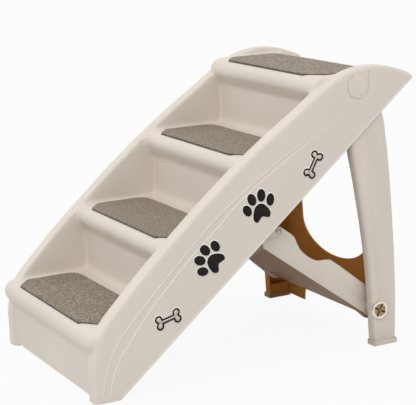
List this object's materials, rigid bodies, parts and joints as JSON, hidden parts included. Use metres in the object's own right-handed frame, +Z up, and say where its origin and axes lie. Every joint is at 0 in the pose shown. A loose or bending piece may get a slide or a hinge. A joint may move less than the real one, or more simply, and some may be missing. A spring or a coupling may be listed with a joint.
{
  "type": "pet stairs",
  "caption": "Folding plastic pet stairs with carpeted treads between two side rails, held up at the back by a hinged leg frame and a latched brace.",
  "frame": {"origin": "middle of the object's box in X and Y, on the floor that it stands on", "axes": "+X across the stairs, towards the right-hand rail for someone facing the climb; +Y from the lowest step towards the platform; +Z up"},
  "size_m": [0.3958, 0.6406, 0.5078],
  "materials": {
    "shell_plastic": "satin moulded",
    "carpet": "speckled short pile",
    "rubber": "matt",
    "foot_cap": "matt",
    "steel": "zinc plated",
    "pin_metal": "warm plated",
    "white_nylon": "satin",
    "print": "printed film"
  },
  "bodies": {
    "stairs": {"stair_body": "shell_plastic", "tread_pad_1": "carpet", "tread_pad_2": "carpet", "tread_pad_3": "carpet", "tread_pad_4": "carpet", "front_foot_pad_left": "rubber", "front_foot_pad_right": "rubber", "latch_hook_left": "steel", "latch_hook_right": "steel", "latch_hook_screws": "steel", "upper_pivot_pin_left": "shell_plastic", "upper_pivot_pin_right": "shell_plastic", "upper_pivot_clip_left": "steel", "upper_pivot_clip_right": "steel", "paw_sticker_low_right": "print", "paw_sticker_high_right": "print", "bone_sticker_low_right": "print", "bone_sticker_high_right": "print", "paw_sticker_low_left": "print", "paw_sticker_high_left": "print", "bone_sticker_low_left": "print", "bone_sticker_high_left": "print"},
    "legs": {"leg_frame": "shell_plastic", "rear_foot_cap_left": "foot_cap", "rear_foot_cap_right": "foot_cap", "brace_pin_left": "pin_metal", "brace_pin_right": "pin_metal", "brace_spacer_left": "white_nylon", "brace_spacer_right": "white_nylon", "brace_pin_clip_left": "steel", "brace_pin_clip_right": "steel"},
    "brace": {"brace_panel": "shell_plastic", "latch_rod": "steel"}
  },
  "joints": [
    {"name": "leg_fold", "type": "hinge", "parent": "stairs", "child": "legs", "pos_m": [0, 0.2042, 0.474], "axis": [-1, 0, 0], "range_deg": [0, 42]},
    {"name": "brace_fold", "type": "hinge", "parent": "legs", "child": "brace", "pos_m": [0, 0.2471, 0.067], "axis": [-1, 0, 0], "range_deg": [0, 49.6]}
  ],
  "couplings": [
    {"joint": "brace_fold", "follows": "leg_fold", "ratio": 1.18}
  ]
}
